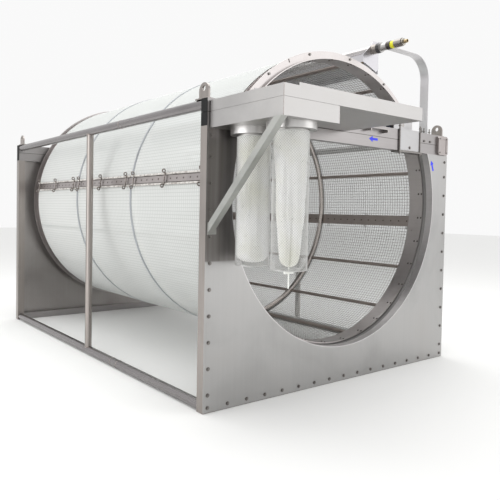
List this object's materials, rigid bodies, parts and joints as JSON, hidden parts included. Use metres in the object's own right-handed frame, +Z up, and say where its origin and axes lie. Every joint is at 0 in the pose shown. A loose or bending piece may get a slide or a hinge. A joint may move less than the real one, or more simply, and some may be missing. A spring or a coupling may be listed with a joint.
{
  "type": "hanging rotary drum screen",
  "caption": "Rotary drum screen hung on wheels in a welded tube frame, with spray header and hood, front launder, bag box and filter-bag baskets.",
  "frame": {"origin": "under the middle of the front sill, on the floor", "axes": "+X to the right seen from the front, +Y from the front plate to the rear plate along the drum, +Z up"},
  "size_m": [2.4, 4.291, 2.4999],
  "materials": {
    "frame_steel": "pickled stainless tube",
    "sheet_steel": "mill-finish stainless sheet",
    "drum_steel": "pickled stainless",
    "mesh_wire": "woven wire",
    "screen_cloth": "fine filter cloth",
    "bolt_steel": "stainless fasteners",
    "black_plastic": "moulded",
    "seal_rubber": "extruded lip",
    "wheel_core": "moulded",
    "wheel_tyre": "polyurethane",
    "motor_paint": "satin grey",
    "fan_plastic": "moulded",
    "basket_steel": "perforated",
    "bag_felt": "needle felt",
    "spray_brass": "turned",
    "coupling_steel": "plated",
    "sleeve_yellow": "yellow band on a dark sleeve"
  },
  "bodies": {
    "frame": {"corner_posts": "frame_steel", "sills": "frame_steel", "beam_tubes": "frame_steel", "beam_end_caps": "black_plastic", "top_side_rails": "frame_steel", "bottom_side_rails": "frame_steel", "mid_posts": "frame_steel", "lifting_lugs": "frame_steel", "front_plate": "sheet_steel", "rear_plate": "sheet_steel", "plate_collars": "sheet_steel", "drum_seals": "seal_rubber", "plate_bolts": "bolt_steel", "wheel_brackets": "sheet_steel", "bracket_clamps": "bolt_steel", "idler_axles": "bolt_steel", "gearmotor": "motor_paint", "motor_fan_cover": "fan_plastic", "launder": "sheet_steel", "bag_hopper": "sheet_steel", "hopper_spigots": "sheet_steel", "launder_brace": "frame_steel", "debris_trough": "sheet_steel", "trough_supports": "sheet_steel", "spray_hood": "sheet_steel", "spray_nozzles": "spray_brass", "spray_header": "sheet_steel", "hood_end_plates": "sheet_steel", "hood_arches": "frame_steel", "coupling_body": "coupling_steel", "beam_end_cover": "black_plastic"},
    "drum": {"drum_rings": "drum_steel", "ring_lips": "drum_steel", "drum_hoops": "drum_steel", "cloth_bands": "drum_steel", "drum_stringers": "drum_steel", "support_mesh": "mesh_wire", "screen_cloth": "screen_cloth", "seam_strips": "drum_steel", "seam_plates": "drum_steel", "seam_hooks": "bolt_steel", "ring_splices": "drum_steel", "ring_bolts": "bolt_steel", "rim_bolts": "bolt_steel", "drum_end_disc": "drum_steel"},
    "drive_wheel": {"drive_hub": "wheel_core", "drive_tyre": "wheel_tyre", "drive_shaft": "bolt_steel"},
    "front_idler_wheel": {"front_idler_hub": "wheel_core", "front_idler_tyre": "wheel_tyre"},
    "rear_left_wheel": {"rear_left_hub": "wheel_core", "rear_left_tyre": "wheel_tyre"},
    "front_right_wheel": {"front_right_hub": "wheel_core", "front_right_tyre": "wheel_tyre"},
    "sleeve": {"coupling_sleeve": "sleeve_yellow"},
    "left_basket_body": {"left_basket": "basket_steel", "left_bag": "bag_felt"},
    "right_basket_body": {"right_basket": "basket_steel", "right_bag": "bag_felt", "right_bag_tie": "bag_felt"}
  },
  "joints": [
    {"name": "drum_spin", "type": "hinge", "parent": "frame", "child": "drum", "pos_m": [0, 1.74, 1.26], "axis": [0, 1, 0], "continuous": true},
    {"name": "drive_wheel_spin", "type": "hinge", "parent": "frame", "child": "drive_wheel", "pos_m": [0.69, 3.359, 1.87861], "axis": [0, 1, 0], "continuous": true},
    {"name": "front_idler_spin", "type": "hinge", "parent": "frame", "child": "front_idler_wheel", "pos_m": [-0.69, 0.121, 1.87861], "axis": [0, 1, 0], "continuous": true},
    {"name": "rear_left_spin", "type": "hinge", "parent": "frame", "child": "rear_left_wheel", "pos_m": [-0.69, 3.359, 1.87861], "axis": [0, 1, 0], "continuous": true},
    {"name": "front_right_spin", "type": "hinge", "parent": "frame", "child": "front_right_wheel", "pos_m": [0.69, 0.121, 1.87861], "axis": [0, 1, 0], "continuous": true},
    {"name": "sleeve_slide", "type": "slide", "parent": "frame", "child": "sleeve", "axis": [0, 1, 0], "range_m": [0, 0.0075], "stiffness_N_per_m": 900, "springref_m": -0.004},
    {"name": "left_basket_slide", "type": "slide", "parent": "frame", "child": "left_basket_body", "axis": [0, 0, -1], "range_m": [0, 0.15]},
    {"name": "right_basket_slide", "type": "slide", "parent": "frame", "child": "right_basket_body", "axis": [0, 0, -1], "range_m": [0, 0.15]}
  ],
  "couplings": [
    {"joint": "drive_wheel_spin", "follows": "drum_spin", "ratio": 13.699},
    {"joint": "front_idler_spin", "follows": "drum_spin", "ratio": 13.699},
    {"joint": "rear_left_spin", "follows": "drum_spin", "ratio": 13.699},
    {"joint": "front_right_spin", "follows": "drum_spin", "ratio": 13.699}
  ]
}
